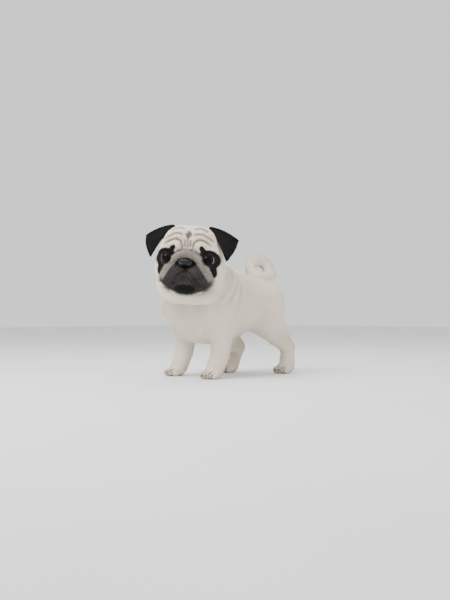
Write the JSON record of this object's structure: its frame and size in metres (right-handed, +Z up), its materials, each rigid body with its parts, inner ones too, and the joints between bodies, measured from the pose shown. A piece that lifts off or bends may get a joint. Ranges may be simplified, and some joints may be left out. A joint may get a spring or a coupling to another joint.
{
  "type": "pug dog",
  "caption": "Life-size still model of a pug standing with a black mask and folded black ears, its head turned to one side and its tail curled over its back.",
  "frame": {"origin": "on the floor, under the middle of the outline's box", "axes": "+Z up, the dog's front towards -Y, its left side towards +X"},
  "size_m": [0.2251, 0.3978, 0.3391],
  "materials": {
    "coat": "short soft fur",
    "mask": "short dark fur",
    "ear": "velvet",
    "nose": "moist grained skin",
    "eye": "wet gloss",
    "claw": "horn"
  },
  "bodies": {
    "root": {"head": "coat", "throat": "coat", "neck": "coat", "chest": "coat", "loin": "coat", "rump": "coat", "tail_root": "coat", "tail_middle": "coat", "tail_tip": "coat", "upper_arm_left": "coat", "upper_arm_right": "coat", "forearm_left": "coat", "forearm_right": "coat", "thigh_left": "coat", "thigh_right": "coat", "shank_left": "coat", "shank_right": "coat", "hock_left": "coat", "hock_right": "coat", "forepaw_left": "coat", "forepaw_right": "coat", "hindpaw_left": "coat", "hindpaw_right": "coat", "muzzle": "mask", "lower_jaw": "mask", "ear_left": "ear", "ear_right": "ear", "nose": "nose", "eye_left": "eye", "eye_right": "eye", "forepaw_left_claw_1": "claw", "forepaw_left_claw_2": "claw", "forepaw_left_claw_3": "claw", "forepaw_left_claw_4": "claw", "forepaw_right_claw_1": "claw", "forepaw_right_claw_2": "claw", "forepaw_right_claw_3": "claw", "forepaw_right_claw_4": "claw", "hindpaw_left_claw_1": "claw", "hindpaw_left_claw_2": "claw", "hindpaw_left_claw_3": "claw", "hindpaw_left_claw_4": "claw", "hindpaw_right_claw_1": "claw", "hindpaw_right_claw_2": "claw", "hindpaw_right_claw_3": "claw", "hindpaw_right_claw_4": "claw"}
  },
  "joints": []
}
